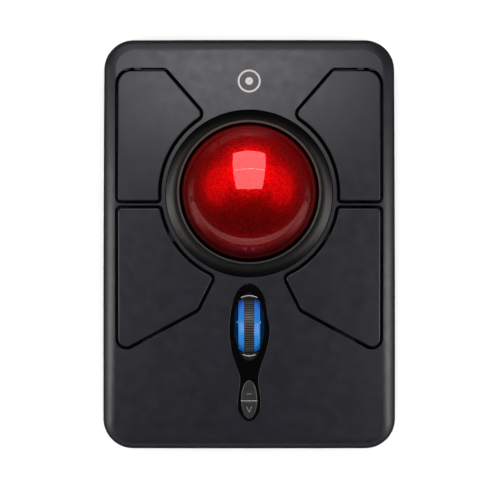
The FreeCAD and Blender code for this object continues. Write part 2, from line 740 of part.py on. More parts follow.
def tact_switch(name, x, y, bottom, width, height, nub=0.4):
    low = (f"{x} - {width} / 2", f"{y} - {width} / 2", bottom)
    block = box(f"{name}_block", low, (width, width, height))
    button = rod(f"{name}_nub", (x, y, bottom), 1.6, f"{height} + {nub}")
    return fuse(name, block, button)


wheel_switch = tact_switch("wheel_switch", "12.7", "wheel_place", board_top, 6, 3.4)

# ---------------------------------------------------------------- boards and what they carry
board_plate = plate("board_plate", (-42, -40), (42, 69), "board_height", "board_thickness", 3)
board_ball_hole = rod("board_ball_hole", (0, "ball_place", 10), 29.3, 10)
board_wheel_slot = box("board_wheel_slot", (-13.8, -45, 10), (23.3, 27.8, 10))
board_screw_holes = rods("board_screw_hole", BOARD_SCREWS, 10, 1.3, 10)
cup_screw_holes = rods("cup_screw_hole", cup_posts, 10, 1.1, 12)
main_board = cut(
    "main_board", board_plate, board_ball_hole, board_wheel_slot, *board_screw_holes, *cup_screw_holes,
)

switch_blocks = []
for side in ("-switch_side", "switch_side"):
    for spot in ("upper_switch_place", "lower_switch_place"):
        index = len(switch_blocks)
        block_low = (f"{side} - 2.9", f"{spot} - 6.4", board_top)
        actuator_low = (f"{side} - 0.6", f"{spot} - 1.2", board_top)
        block = box(f"switch_block_{index}", block_low, (5.8, 12.8, 6.5))
        actuator = box(f"switch_actuator_{index}", actuator_low, (1.2, 2.4, 7.3))
        switch_blocks.append(fuse(f"switch_{index}", block, actuator))
button_switches = doc.addObject("Part::Compound", "button_switches")
button_switches.Links = switch_blocks
controller_chip = plate("controller_chip", (-5, 54), (5, 64), board_top, 1.2)
radio_module = fuse(
    "radio_module", box("radio_board", (14, 54, board_top), (14, 11, 0.8)),
    box("radio_can", (15, 55.5, f"{board_top} + 0.8"), (9, 8, 1.6)),
)
wheel_leds = doc.addObject("Part::Compound", "wheel_leds")
wheel_leds.Links = [
    box("led_left", (-16.6, "wheel_place - 1.5", board_top), (2, 3, 1.8)),
    box("led_right", (9.9, "wheel_place + 5", board_top), (2, 3, 1.8)),
]
dpi_board = plate("dpi_board", (-9, "dpi_place - 8"), (9, "dpi_place + 8"), 18, 0.8)
dpi_switches = doc.addObject("Part::Compound", "dpi_switches")
dpi_switches.Links = [
    tact_switch("dpi_switch_up", 0, "dpi_place + 3.4", 18.8, 4, 1.3, 0.3),
    tact_switch("dpi_switch_down", 0, "dpi_place - 4.1", 18.8, 4, 1.3, 0.3),
]

# ---------------------------------------------------------------- shells
seam = "seam_height + seam_gap / 2"
WIDE = 200
above_seam = box("above_seam", (-WIDE / 2, -WIDE / 2, seam), (WIDE, WIDE, WIDE))
below_seam = box("below_seam", (-WIDE / 2, -WIDE / 2, 0), (WIDE, WIDE, "seam_height - seam_gap / 2"))


def case_ring(name, outside, inside, bottom, height):
    """Make an upright frame that follows the case's outline between two insets."""
    return cut(
        name, case_plate(f"{name}_outside", outside, bottom, height),
        case_plate(f"{name}_inside", inside, bottom, height),
    )


lip = case_ring("lip", "wall / 2 + 0.1", "wall + 0.3", "seam_height - 3", 4.6)
lip_groove = case_ring("lip_groove", "wall / 2", "wall + 2", "seam_height - 1", 2.9)

top_bosses = rods("top_boss", CASE_SCREWS, "seam_height + 1", 3, 30)
top_pilots = rods("top_pilot", CASE_SCREWS, 0, 1.25, 17)
right_lugs = [mirror("upper_right_lugs", upper_lugs), mirror("lower_right_lugs", lower_lugs)]
lugs = [upper_lugs, lower_lugs, *right_lugs]
dpi_posts = rods("dpi_post", [(-7.2, "dpi_place"), (7.2, "dpi_place")], 18.8, 1.3, 15)
top_works = common("top_works", fuse("top_furniture", *top_bosses, *lugs, *dpi_posts), skin_form)

upper_opening = offset_block("upper_opening", upper_outline, "button_gap")
lower_opening = offset_block("lower_opening", lower_outline, "button_gap")
ring_opening = rod("ring_opening", (0, "ring_place", 25), "ring_radius + 0.05", 20)
keyhole_opening = keyhole_block("keyhole_opening", 0.05)
top_blank = common("top_blank", case_walls, above_seam)
top_cut = cut(
    "top_cut", top_blank, lip_groove, upper_opening, lower_opening,
    mirror("upper_right_opening", upper_opening), mirror("lower_right_opening", lower_opening),
    ring_opening, keyhole_opening,
)
top_shell = cut("top_shell", fuse("top_joined", top_cut, top_works), *top_pilots)

# bottom shell
door_half = "door_width / 2"
door_opening = box("door_opening", (f"-({door_half} + 0.3)", -90, 0),
                   (f"2 * ({door_half} + 0.3)", "90 + door_far + 0.3", "base_height + floor_thickness + 0.3"))
bottom_blank = common("bottom_blank", case_walls, below_seam)
bottom_bosses = rods("bottom_boss", CASE_SCREWS, 2, 3.6, "seam_height - 2.2")
board_posts = rods("board_post", BOARD_SCREWS, 2, 3, "board_height - 2")
bay_walls = [
    box(f"bay_wall_{side}", (start, -73.2, 2), (1.4, 32.9, 13))
    for side, start in (("left", -30), ("right", 28.6))
]
bay_far_wall = box("bay_far_wall", (-30, -40.8, 2), (60, 1.3, 11.5))
receiver_rails = [
    box(f"receiver_rail_{side}", (start, 56, 2), (1.5, 18, 7.4))
    for side, start in (("left", -9.3), ("right", 7.8))
]
bottom_solid = fuse(
    "bottom_solid", bottom_blank, lip, *bottom_bosses, *board_posts, *bay_walls, bay_far_wall,
    *receiver_rails,
)
screw_holes = rods("screw_hole", CASE_SCREWS, 0, 1.4, 15)
screw_seats = rods("screw_seat", CASE_SCREWS, 0, 2.9, 3.6)
board_pilots = rods("board_pilot", BOARD_SCREWS, 6, 1.05, 20)
FEET = [(-50, 51), (32, 51), (-51, -55), (33, -55)]
foot_seats = [
    plate(f"foot_seat_{i}", (x - 0.1, y - 0.1), (x + 18.1, y + 7.1), 0, "foot_thickness", 3.1)
    for i, (x, y) in enumerate(FEET)
]
receiver_slot = box("receiver_slot", (-7.6, 72, 3.1), (15.2, 8, 5.9))
slider_slot = box("slider_slot", (-26, 57, 0), (8, 4, 5))
bottom_shell = cut("bottom_shell", bottom_solid, door_opening, *screw_holes, *screw_seats, *board_pilots,
                   *foot_seats, receiver_slot, slider_slot)
rubber_feet = doc.addObject("Part::Compound", "rubber_feet")
rubber_feet.Links = [
    plate(f"foot_{i}", (x, y), (x + 18, y + 7), 0, "foot_thickness", 3) for i, (x, y) in enumerate(FEET)
]

# battery door
door_blank = common("door_blank", outer_form, box(
    "door_area", (f"-({door_half})", -90, "base_height"), ("door_width", "90 + door_far", "floor_thickness"),
))
grip_grooves = [box(f"grip_groove_{i}", (-9, -70 + 2.4 * i, 0), (18, 1.2, 1.5)) for i in range(5)]
battery_door = cut("battery_door", door_blank, *grip_grooves)

# cells, laid head to tail, and their contacts
CELL_NUB = 1.0
LEAF_THICKNESS = 0.35
contact_plates = []
springs = []


def leaf_spring(name, start, place_y, bulge):
    """Make the bowed leaf that presses a cell's flat end; it bulges along X."""
    body = place(new_body(name), start, place_y, "cell_height - 3")
    sketch = sketch_on(body, "XY", f"{name}_sketch")
    tips = {}
    for side, x in (("outer", 0), ("inner", math.copysign(LEAF_THICKNESS, bulge))):
        tips[side] = [FreeCAD.Vector(x, y, 0) for y in (-4.5, 4.5)]
        crest = FreeCAD.Vector(x + bulge, 0, 0)
        sketch.addGeometry(Part.Arc(tips[side][0], crest, tips[side][1]), False)
    for outer, inner in zip(tips["outer"], tips["inner"]):
        sketch.addGeometry(Part.LineSegment(outer, inner), False)
    pad(body, sketch, 6)
    return body


for side, step, head in (("near", "-cell_pitch / 2", -1), ("far", "cell_pitch / 2", 1)):
    spot = f"cell_place + {step}"
    flat_start = f"-cell_length / 2 + {CELL_NUB if head < 0 else 0}"
    can_length = f"cell_length - {CELL_NUB}"
    can = rod(f"cell_{side}_can", (flat_start, spot, "cell_height"), "cell_radius", can_length, "x")
    rounded = round_piece(f"cell_{side}_rounded", can, 0.6, lambda edge: edge.Length > 40 and edge.Closed)
    nub = rod(f"cell_{side}_nub", ("-cell_length / 2", spot, "cell_height"), 2.7, "cell_length", "x")
    fuse(f"aa_cell_{side}", rounded, nub)
    for end, start in (("left", -28.6), ("right", 28.2)):
        low = (start, f"{spot} - 5.5", "cell_height - 5")
        contact_plates.append(box(f"contact_{side}_{end}", low, (0.4, 11, 10)))
    bump_start = -28.3 if head < 0 else 25.3
    contact_plates.append(rod(f"bump_{side}", (bump_start, spot, "cell_height"), 2.2, 3.0, "x"))
    springs.append(leaf_spring(f"spring_{side}", 28.1 if head < 0 else -28.1, spot, 2.4 * head))
battery_contacts = fuse("battery_contacts", *contact_plates)
battery_springs = doc.addObject("Part::Compound", "battery_springs")
battery_springs.Links = springs


# ---------------------------------------------------------------- fasteners
def screws(name, spots, head_low, head_radius, head_height, shank_radius, shank_length, head_up):
    """Make a group of like cross-head screws; head_up says which way the heads face."""
    made = []
    for index, (x, y) in enumerate(spots):
        label = f"{name}_{index}"
        head = rod(f"{label}_head", (x, y, head_low), head_radius, head_height)
        shank_low = f"{head_low} - {shank_length}" if head_up else f"{head_low} + {head_height}"
        shank = rod(f"{label}_shank", (x, y, shank_low), shank_radius, shank_length)
        slot_low = f"{head_low} + {head_height} - 0.7" if head_up else f"{head_low} - 0.3"
        long, short = head_radius * 1.2, head_radius * 0.28
        slots = [
            box(f"{label}_slot_{way}", (f"{x} - {w} / 2", f"{y} - {d} / 2", slot_low), (w, d, 1))
            for way, w, d in (("a", long, short), ("b", short, long))
        ]
        made.append(cut(label, fuse(f"{label}_blank", head, shank), *slots))
    group = doc.addObject("Part::Compound", name)
    group.Links = made
    return group


screws("case_screws", CASE_SCREWS, "base_height + 1", 2.7, 1.5, 1.15, 12, False)
screws("board_screws", BOARD_SCREWS, board_top, 2.1, 1.3, 0.95, 7, True)
screws("cup_screws", cup_posts, "board_height - 1.4", 1.9, 1.35, 0.85, 8, False)

# ---------------------------------------------------------------- power slider and wireless receiver
power_slider = fuse(
    "power_slider",
    box("slider_plate", (-25.2, 56, "base_height + floor_thickness + 0.1"), (8, 6, 1)),
    box("slider_knob", (-25.7, 57.25, "base_height + 0.5"), (4.4, 3.5, 2)),
    box("slider_stem", (-24.5, 58, 3.5), (2, 2, 4.6)),
)
power_switch = cut(
    "power_switch", box("power_block", (-28, 55.5, 8.4), (12, 7, 5.5)),
    box("power_groove", (-27, 57.5, 8), (9, 3, 1.2)),
)
receiver_cover = plate("receiver_cover", (-7.2, 69.5), (7.2, 75.8), 3.4, 5.3, 1)
receiver_notch = box("receiver_notch", (-4, 75.2, 3), (8, 2, 1.4))
receiver_housing = cut("receiver_housing", receiver_cover, receiver_notch)
receiver_shell = box("receiver_shell", (-6, 57.5, 3.8), (12, 12, 4.5))
receiver_mouth = box("receiver_mouth", (-5.6, 57, 6), (11.2, 10, 1.9))
receiver_plug = cut("receiver_plug", receiver_shell, receiver_mouth)

# ---------------------------------------------------------------- check and write
NODES = [
    "top_shell", "bottom_shell", "battery_door", "rubber_feet", "case_screws",
    "upper_left_button", "upper_right_button", "lower_left_button", "lower_right_button",
    "ball_ring", "ball_cup", "ball_bearings", "cup_screws", "ball_core", "ball_body", "ball_pearl_coat",
    "sensor_board", "sensor_chip", "sensor_lens",
    "wheel_bezel", "wheel_hub", "wheel_tyre", "wheel_axle", "wheel_carrier", "wheel_bracket",
    "wheel_encoder", "wheel_switch", "wheel_leds",
    "dpi_up_button", "dpi_down_button", "dpi_board", "dpi_switches",
    "main_board", "board_screws", "button_switches", "controller_chip", "radio_module",
    "power_switch", "power_slider", "receiver_housing", "receiver_plug",
    "aa_cell_near", "aa_cell_far", "battery_contacts", "battery_springs",
]

doc.recompute()
for made in doc.Objects:
    if {"Invalid", "Error"} & set(made.State):
        raise RuntimeError(f"{made.Name}: {made.getStatusString()}")
for name in NODES:
    shape = doc.getObject(name).Shape
    if shape.isNull() or not shape.isValid() or not shape.Solids:
        raise RuntimeError(f"{name} has no valid solid")
for name in NODES:
    made = doc.getObject(name)
    made.Label = name
    made.Shape.exportStep(f"parts/{name}.step")
print(f"{len(NODES)} parts written")
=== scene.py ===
import json
import math

import bmesh
import bpy
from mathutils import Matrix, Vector
from mathutils.bvhtree import BVHTree


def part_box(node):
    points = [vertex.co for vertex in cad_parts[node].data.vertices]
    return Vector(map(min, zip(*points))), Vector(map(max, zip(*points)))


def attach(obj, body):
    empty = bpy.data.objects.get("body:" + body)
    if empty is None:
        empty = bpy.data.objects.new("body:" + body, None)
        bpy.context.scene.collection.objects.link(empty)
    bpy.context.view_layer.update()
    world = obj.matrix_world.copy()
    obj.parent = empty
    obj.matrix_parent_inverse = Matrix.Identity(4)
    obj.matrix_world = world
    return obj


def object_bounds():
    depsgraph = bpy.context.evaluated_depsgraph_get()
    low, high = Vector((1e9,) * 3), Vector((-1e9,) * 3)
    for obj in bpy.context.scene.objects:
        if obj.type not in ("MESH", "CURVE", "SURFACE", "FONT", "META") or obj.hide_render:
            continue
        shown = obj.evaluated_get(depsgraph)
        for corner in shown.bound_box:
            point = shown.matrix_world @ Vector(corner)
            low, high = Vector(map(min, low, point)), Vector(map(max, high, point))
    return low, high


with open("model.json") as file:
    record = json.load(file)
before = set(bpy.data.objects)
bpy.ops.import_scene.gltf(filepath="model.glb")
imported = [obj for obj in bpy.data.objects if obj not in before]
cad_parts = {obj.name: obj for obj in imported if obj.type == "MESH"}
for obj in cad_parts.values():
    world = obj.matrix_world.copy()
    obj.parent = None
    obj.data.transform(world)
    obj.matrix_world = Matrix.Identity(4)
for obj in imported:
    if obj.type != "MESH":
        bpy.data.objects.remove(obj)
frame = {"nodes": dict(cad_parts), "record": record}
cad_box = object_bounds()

nodes = frame["nodes"]
MM = 0.001
ENDLESS = 1e6   # the scale of an axis along which a mask doesn't change


def middle_of(node, axis):
    """The middle of a node's box along an axis: 0, 1 or 2."""
    low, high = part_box(node)
    return (low[axis] + high[axis]) / 2


# ---------------------------------------------------------------- materials
class Paint:
    """A node material around one Principled shader, built up layer by layer."""

    def __init__(self, name, roughness, metallic=0.0, **settings):
        self.material = bpy.data.materials.new(name)
        self.material.use_nodes = True
        self.tree = self.material.node_tree
        self.shader = self.tree.nodes["Principled BSDF"]
        self.shader.inputs["Roughness"].default_value = roughness
        self.shader.inputs["Metallic"].default_value = metallic
        for key, value in settings.items():
            self.shader.inputs[key.replace("_", " ")].default_value = value
        self.place = self.tree.nodes.new("ShaderNodeTexCoord").outputs["Object"]
        self.normal = None

    def noise(self, size, detail=2.0, stretch=None):
        """Noise whose grains are about `size` metres across, longer where `stretch` is below 1."""
        node = self.tree.nodes.new("ShaderNodeTexNoise")
        node.inputs["Scale"].default_value = 1.0 / size
        node.inputs["Detail"].default_value = detail
        source = self.place
        if stretch is not None:
            mapping = self.tree.nodes.new("ShaderNodeMapping")
            mapping.inputs["Scale"].default_value = stretch
            self.tree.links.new(source, mapping.inputs["Vector"])
            source = mapping.outputs["Vector"]
        self.tree.links.new(source, node.inputs["Vector"])
        return node.outputs["Fac"]

    def cells(self, size):
        """Cells about `size` metres across, each with three random values of its own."""
        node = self.tree.nodes.new("ShaderNodeTexVoronoi")
        node.inputs["Scale"].default_value = 1.0 / size
        self.tree.links.new(self.place, node.inputs["Vector"])
        values = self.tree.nodes.new("ShaderNodeSeparateColor")
        self.tree.links.new(node.outputs["Color"], values.inputs["Color"])
        return values.outputs["Red"], values.outputs["Green"], values.outputs["Blue"]

    def component(self, vector, axis):
        """The "X", "Y" or "Z" of a vector."""
        node = self.tree.nodes.new("ShaderNodeSeparateXYZ")
        self.tree.links.new(vector, node.inputs["Vector"])
        return node.outputs[axis]

    def distance(self, centre, scale):
        """The distance from a centre, where one unit is `scale` metres along each axis."""
        mapping = self.tree.nodes.new("ShaderNodeMapping")
        mapping.vector_type = "TEXTURE"
        mapping.inputs["Location"].default_value = centre
        mapping.inputs["Scale"].default_value = scale
        self.tree.links.new(self.place, mapping.inputs["Vector"])
        length = self.tree.nodes.new("ShaderNodeVectorMath")
        length.operation = "LENGTH"
        self.tree.links.new(mapping.outputs["Vector"], length.inputs[0])
        return length.outputs["Value"]

    def ramp(self, source, stops):
        """Turn a value into a colour through (position, colour) stops."""
        node = self.tree.nodes.new("ShaderNodeValToRGB")
        elements = node.color_ramp.elements
        while len(elements) < len(stops):
            elements.new(0.5)
        for element, (position, colour) in zip(elements, stops):
            element.position = position
            element.color = (*colour, 1.0)
        self.tree.links.new(source, node.inputs["Fac"])
        return node.outputs["Color"]

    def remap(self, source, low, high, from_low=0.3, from_high=0.7):
        """Stretch a value from one range to another, held at the ends."""
        node = self.tree.nodes.new("ShaderNodeMapRange")
        limits = {"From Min": from_low, "From Max": from_high, "To Min": low, "To Max": high}
        for key, value in limits.items():
            node.inputs[key].default_value = value
        self.tree.links.new(source, node.inputs["Value"])
        return node.outputs["Result"]

    def set(self, socket, source):
        self.tree.links.new(source, self.shader.inputs[socket])

    def bump(self, source, depth):
        """Add relief: `depth` metres between the source's 0 and 1."""
        node = self.tree.nodes.new("ShaderNodeBump")
        node.inputs["Distance"].default_value = depth
        node.inputs["Strength"].default_value = 1.0
        self.tree.links.new(source, node.inputs["Height"])
        if self.normal is not None:
            self.tree.links.new(self.normal, node.inputs["Normal"])
        self.normal = node.outputs["Normal"]
        self.set("Normal", self.normal)


def shade(colour, factor):
    return tuple(channel * factor for channel in colour)


def moulded(name, colour, roughness, grain, grain_depth, spread=0.12, **settings):
    """Moulded plastic: spark-eroded grain, faint clouding and uneven gloss."""
    paint = Paint(name, roughness, **settings)
    tones = [(0.3, shade(colour, 1 - spread)), (0.7, shade(colour, 1 + spread))]
    paint.set("Base Color", paint.ramp(paint.noise(9 * MM, 3.0), tones))
    gloss = paint.noise(4 * MM, 4.0)
    paint.set("Roughness", paint.remap(gloss, roughness * 0.9, roughness * 1.12))
    paint.bump(paint.noise(grain, 3.0), grain_depth)
    return paint.material


def metal(name, colour, roughness, stretch):
    """Metal with fine drawn or ground lines, which run where `stretch` is below 1."""
    paint = Paint(name, roughness, metallic=1.0)
    lines = paint.noise(0.25 * MM, 4.0, stretch)
    paint.set("Base Color", paint.ramp(lines, [(0.3, shade(colour, 0.82)), (0.7, colour)]))
    paint.set("Roughness", paint.remap(lines, roughness * 0.75, roughness * 1.4))
    paint.bump(lines, 0.004 * MM)
    return paint.material


def red_pearl():
    """Fine pearl flakes in deep red lacquer under a polished clear coat."""
    paint = Paint("red_pearl", 0.4, metallic=0.9, Coat_Weight=1.0, Coat_Roughness=0.015,
                  Coat_IOR=1.42, Specular_IOR_Level=0.0)
    tone, gloss, relief = paint.cells(0.22 * MM)
    reds = [(0.0, (0.42, 0.0, 0.0006)), (0.8, (0.54, 0.0004, 0.0016)), (1.0, (0.78, 0.004, 0.006))]
    flakes = paint.ramp(tone, reds)
    dimming = [(0.4, (0.72, 0.6, 0.6)), (0.6, (1.1, 1.0, 1.0))]
    clouds = paint.ramp(paint.noise(1.1 * MM, 3.0), dimming)
    clouded = paint.tree.nodes.new("ShaderNodeMixRGB")
    clouded.blend_type = "MULTIPLY"
    clouded.inputs["Fac"].default_value = 1.0
    paint.tree.links.new(flakes, clouded.inputs["Color1"])
    paint.tree.links.new(clouds, clouded.inputs["Color2"])
    paint.set("Base Color", clouded.outputs["Color"])
    paint.set("Roughness", paint.remap(gloss, 0.35, 0.45, 0.0, 1.0))
    paint.bump(relief, 0.003 * MM)
    return paint.material


def blue_lightguide():
    """Blue side rings of the wheel, lit from within, whose glow stays in the near half of the opening as
    they turn; its fading towards both ends of the opening is painted shade.
    """
    paint = Paint("blue_lightguide", 0.25, Emission_Strength=1.0, Specular_IOR_Level=0.2)
    case_place = paint.tree.nodes.new("ShaderNodeTexCoord")
    case_place.object = nodes["wheel_bezel"]
    brightest = middle_of("wheel_hub", 1) - 3.0 * MM
    reach = 9.5 * MM
    y = paint.component(case_place.outputs["Object"], "Y")
    along = paint.remap(y, 0, 1, brightest - reach, brightest + reach)
    # bright in the middle and dim at the ends: the LED glow, with painted shade where the rings turn
    # away at the ends of the opening
    dim, lit = (0.011, 0.045, 0.27), (0.002, 0.11, 0.35)
    glow = [(0.0, dim), (0.25, shade(lit, 0.8)), (0.5, lit), (0.75, shade(lit, 0.75)), (1.0, dim)]
    paint.set("Emission Color", paint.ramp(along, glow))
    tones = [(0.3, (0.012, 0.09, 0.27)), (0.7, (0.015, 0.11, 0.32))]
    paint.set("Base Color", paint.ramp(paint.noise(1.6 * MM), tones))
    paint.set("Roughness", paint.remap(paint.noise(0.6 * MM), 0.14, 0.3))
    paint.bump(paint.noise(0.3 * MM), 0.004 * MM)
    return paint.material


def ring_plastic():
    """Satin black ring whose inner bead, close to the ball, is painted a pale grey as a highlight of the
    light it catches.
    """
    paint = Paint("ring_plastic", 0.27, Specular_IOR_Level=0.3)
    low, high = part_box("ball_pearl_coat")
    ball_radius = (high[0] - low[0]) / 2
    bead_start, bead_end = ball_radius + 0.5 * MM, ball_radius + 2.1 * MM
    distance = paint.distance((0, middle_of("ball_pearl_coat", 1), 0), (1, 1, ENDLESS))
    across = paint.remap(distance, 0, 1, bead_start, bead_end)
    # the pale band over the bead is a painted highlight of the light its rounded lip catches all round
    # the ball
    black, pale = (0.002, 0.002, 0.0021), (0.15, 0.15, 0.155)
    stops = [(0.0, black), (0.2, black), (0.35, pale), (0.65, pale), (0.8, black)]
    paint.set("Base Color", paint.ramp(across, stops))
    paint.set("Roughness", paint.remap(paint.noise(9 * MM), 0.2, 0.23))
    paint.bump(paint.noise(0.3 * MM), 0.001 * MM)
    return paint.material


def dished_gloss():
    """Polished black, softer inside the oval dish around the wheel, with a greyer tone there that is
    painted light, standing in for the light the dished walls catch.
    """
    paint = Paint("dished_gloss", 0.1, Coat_Weight=0.4, Coat_Roughness=0.03)
    centre = (0, middle_of("wheel_tyre", 1) - 1.3 * MM, 0)
    oval = (5.4 * MM, 12.6 * MM, ENDLESS)
    # the greyer tone inside the oval is painted light from the dished walls
    outside = paint.remap(paint.distance(centre, oval), 0, 1, 0.97, 1.01)
    tones = [(0.0, (0.05, 0.05, 0.051)), (1.0, (0.0007, 0.0007, 0.0009))]
    paint.set("Base Color", paint.ramp(outside, tones))
    paint.set("Roughness", paint.remap(outside, 0.3, 0.1, 0, 1))
    paint.bump(paint.noise(1.5 * MM), 0.002 * MM)
    return paint.material


def wheel_rubber():
    """Ribbed tread, a lighter grey on the tops of the ribs than in the grooves."""
    paint = Paint("wheel_rubber", 0.45)
    low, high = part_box("wheel_tyre")
    radius = (high[2] - low[2]) / 2
    axle = (0, middle_of("wheel_tyre", 1), middle_of("wheel_tyre", 2))
    distance = paint.distance(axle, (ENDLESS, 1, 1))
    # lighter grey towards the tops of the ribs, darker in the grooves
    rib_tops = paint.remap(distance, 0, 1, radius - 0.4 * MM, radius - 0.1 * MM)
    tones = [(0.0, (0.008, 0.008, 0.0085)), (1.0, (0.046, 0.046, 0.046))]
    paint.set("Base Color", paint.ramp(rib_tops, tones))
    paint.set("Roughness", paint.remap(paint.noise(0.4 * MM), 0.38, 0.55))
    paint.bump(paint.noise(0.15 * MM, 3.0), 0.006 * MM)
    return paint.material


def circuit_board():
    """Green solder mask, paler and raised over tracks that run along X and Y."""
    paint = Paint("circuit_board", 0.35, Coat_Weight=0.3)
    tracks = paint.tree.nodes.new("ShaderNodeMath")
    tracks.operation = "MAXIMUM"
    for index, stretch in enumerate(((0.12, 1, 1), (1, 0.12, 1))):
        lines = paint.noise(1.1 * MM, 0.0, stretch)
        paint.tree.links.new(paint.remap(lines, 0, 1, 0.56, 0.58), tracks.inputs[index])
    pattern = tracks.outputs["Value"]
    greens = [(0.0, (0.004, 0.05, 0.022)), (1.0, (0.012, 0.16, 0.06))]
    paint.set("Base Color", paint.ramp(pattern, greens))
    paint.set("Roughness", paint.remap(paint.noise(2 * MM), 0.28, 0.42))
    paint.bump(pattern, 0.02 * MM)
    return paint.material


def cell_jacket():
    """Film of a dry cell, with bare ends, a dark band and a copper band."""
    paint = Paint("cell_jacket", 0.3, metallic=0.4, Coat_Weight=0.6)
    half_length = 25 * MM
    along = paint.remap(paint.component(paint.place, "X"), 0, 1, -half_length, half_length)
    bare, dark, copper = (0.5, 0.5, 0.48), (0.012, 0.012, 0.014), (0.55, 0.22, 0.07)
    bands = [(0.0, bare), (0.02, dark), (0.68, dark), (0.70, copper), (0.97, copper), (1.0, bare)]
    paint.set("Base Color", paint.ramp(along, bands))
    paint.set("Roughness", paint.remap(paint.noise(3 * MM, 4.0), 0.22, 0.4))
    paint.bump(paint.noise(6 * MM, 1.0), 0.02 * MM)
    return paint.material


CHARCOAL = (0.0101, 0.0099, 0.0148)
finishes = {
    "case_plastic": moulded(
        "case_plastic", CHARCOAL, 0.37, 0.22 * MM, 0.006 * MM, Specular_IOR_Level=0.4),
    "button_plastic": moulded(
        "button_plastic", shade(CHARCOAL, 1.03), 0.36, 0.2 * MM, 0.005 * MM, Specular_IOR_Level=0.38),
    "ring_plastic": ring_plastic(),
    "gloss_black": moulded(
        "gloss_black", (0.0008, 0.0008, 0.001), 0.12, 1.5 * MM, 0.002 * MM,
        Coat_Weight=1.0, Coat_Roughness=0.02),
    "grey_plastic": moulded("grey_plastic", (0.015, 0.016, 0.019), 0.42, 0.18 * MM, 0.005 * MM),
    "inner_plastic": moulded("inner_plastic", (0.02, 0.02, 0.021), 0.55, 0.3 * MM, 0.008 * MM),
    "nylon": moulded(
        "nylon", (0.62, 0.6, 0.54), 0.5, 0.4 * MM, 0.006 * MM, 0.06, Subsurface_Weight=0.15),
    "red_pearl": red_pearl(),
    "ball_resin": moulded("ball_resin", (0.2, 0.006, 0.012), 0.3, 1.0 * MM, 0.004 * MM),
    "blue_lightguide": blue_lightguide(),
    "wheel_rubber": wheel_rubber(),
    "foot_rubber": moulded("foot_rubber", (0.012, 0.012, 0.012), 0.75, 0.25 * MM, 0.02 * MM, 0.2),
    "steel": metal("steel", (0.55, 0.55, 0.56), 0.28, (1, 1, 0.1)),
    "plated_steel": metal("plated_steel", (0.72, 0.71, 0.68), 0.18, (0.15, 1, 1)),
    "ceramic": moulded(
        "ceramic", (0.8, 0.79, 0.74), 0.12, 0.5 * MM, 0.001 * MM, 0.03, Coat_Weight=0.6),
    "circuit_board": circuit_board(),
    "chip_black": moulded("chip_black", (0.01, 0.01, 0.0105), 0.5, 0.12 * MM, 0.008 * MM),
    "lens_clear": moulded(
        "lens_clear", (0.9, 0.93, 0.96), 0.05, 1.0 * MM, 0.001 * MM, 0.02,
        Transmission_Weight=0.95, IOR=1.49),
    "led_body": moulded(
        "led_body", (0.55, 0.65, 0.9), 0.15, 0.5 * MM, 0.003 * MM, 0.05, Transmission_Weight=0.5),
    "cell_jacket": cell_jacket(),
}
pale_mark = moulded("pale_mark", (0.13, 0.135, 0.14), 0.4, 0.1 * MM, 0.002 * MM, 0.05)
# silver for the printed emblem, also used as painted highlight on the wheel opening's arcs and the
# rocker's split
silver_ink_and_highlight = moulded("silver_ink_and_highlight", (0.42, 0.41, 0.43), 0.35, 0.1 * MM, 0.002 * MM, 0.05)

for part in frame["record"]["subparts"]:
    mesh = nodes[part["node"]].data
    mesh.materials.clear()
    mesh.materials.append(finishes[part["material_slot"]])
nodes["wheel_bezel"].data.materials[0] = dished_gloss()


# ---------------------------------------------------------------- mesh helpers
def add_object(name, form, material):
    """Turn a bmesh into an object of the scene."""
    mesh = bpy.data.meshes.new(name)
    form.to_mesh(mesh)
    form.free()
    mesh.materials.append(material)
    made = bpy.data.objects.new(name, mesh)
    bpy.context.scene.collection.objects.link(made)
    return made


def add_piece(name, form, body, material):
    """Turn a bmesh into a smooth piece of the object, which rides on a body."""
    bmesh.ops.recalc_face_normals(form, faces=form.faces)
    piece = add_object(name, form, material)
    for polygon in piece.data.polygons:
        polygon.use_smooth = True
    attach(piece, body)


def skin(form, rows, closed=False):
    """Join rows of corners into a tube, and cap its ends unless it closes on itself."""
    sides = len(rows[0])
    pairs = list(zip(rows, rows[1:])) + ([(rows[-1], rows[0])] if closed else [])
    for first, second in pairs:
        for side in range(sides):
            after = (side + 1) % sides
            form.faces.new((first[side], first[after], second[after], second[side]))
    if not closed:
        form.faces.new(rows[0])
        form.faces.new(list(reversed(rows[-1])))


# ---------------------------------------------------------------- printed and moulded marks, and painted highlights
MARK_RISE = 0.04 * MM
THIN_STROKE = 0.16 * MM
STROKE_PROFILE = ((-1, -1), (-0.8, 1), (0.8, 1), (1, -1))   # half widths across, rises up


def surface_of(node):
    """Return a function that gives the height of a node's top at a place."""
    form = bmesh.new()
    form.from_mesh(nodes[node].data)
    tree = BVHTree.FromBMesh(form)
    form.free()
    overhead = 0.1

    def height(x, y):
        return tree.ray_cast(Vector((x, y, overhead)), Vector((0, 0, -1)))[0].z

    return height


def add_band(form, spots, half_width, height, closed=False):
    """Lay a flat raised stroke along spots, following the surface below it."""
    rows = []
    count = len(spots)
    for index, spot in enumerate(spots):
        before = spots[index - 1] if index or closed else spot
        after = spots[(index + 1) % count] if index + 1 < count or closed else spot
        along = (Vector(after) - Vector(before)).normalized()
        across = Vector((-along.y, along.x))
        row = []
        for side, rise in STROKE_PROFILE:
            x, y = Vector(spot) + across * half_width * side
            row.append(form.verts.new((x, y, height(x, y) + MARK_RISE * rise)))
        rows.append(row)
    skin(form, rows, closed)


def circle_spots(centre, radius, count):
    turns = [2 * math.pi * index / count for index in range(count)]
    return [(centre[0] + radius * math.cos(turn), centre[1] + radius * math.sin(turn)) for turn in turns]


def line_spots(start, end):
    steps = 5
    return [tuple(Vector(start).lerp(Vector(end), index / steps)) for index in range(steps + 1)]


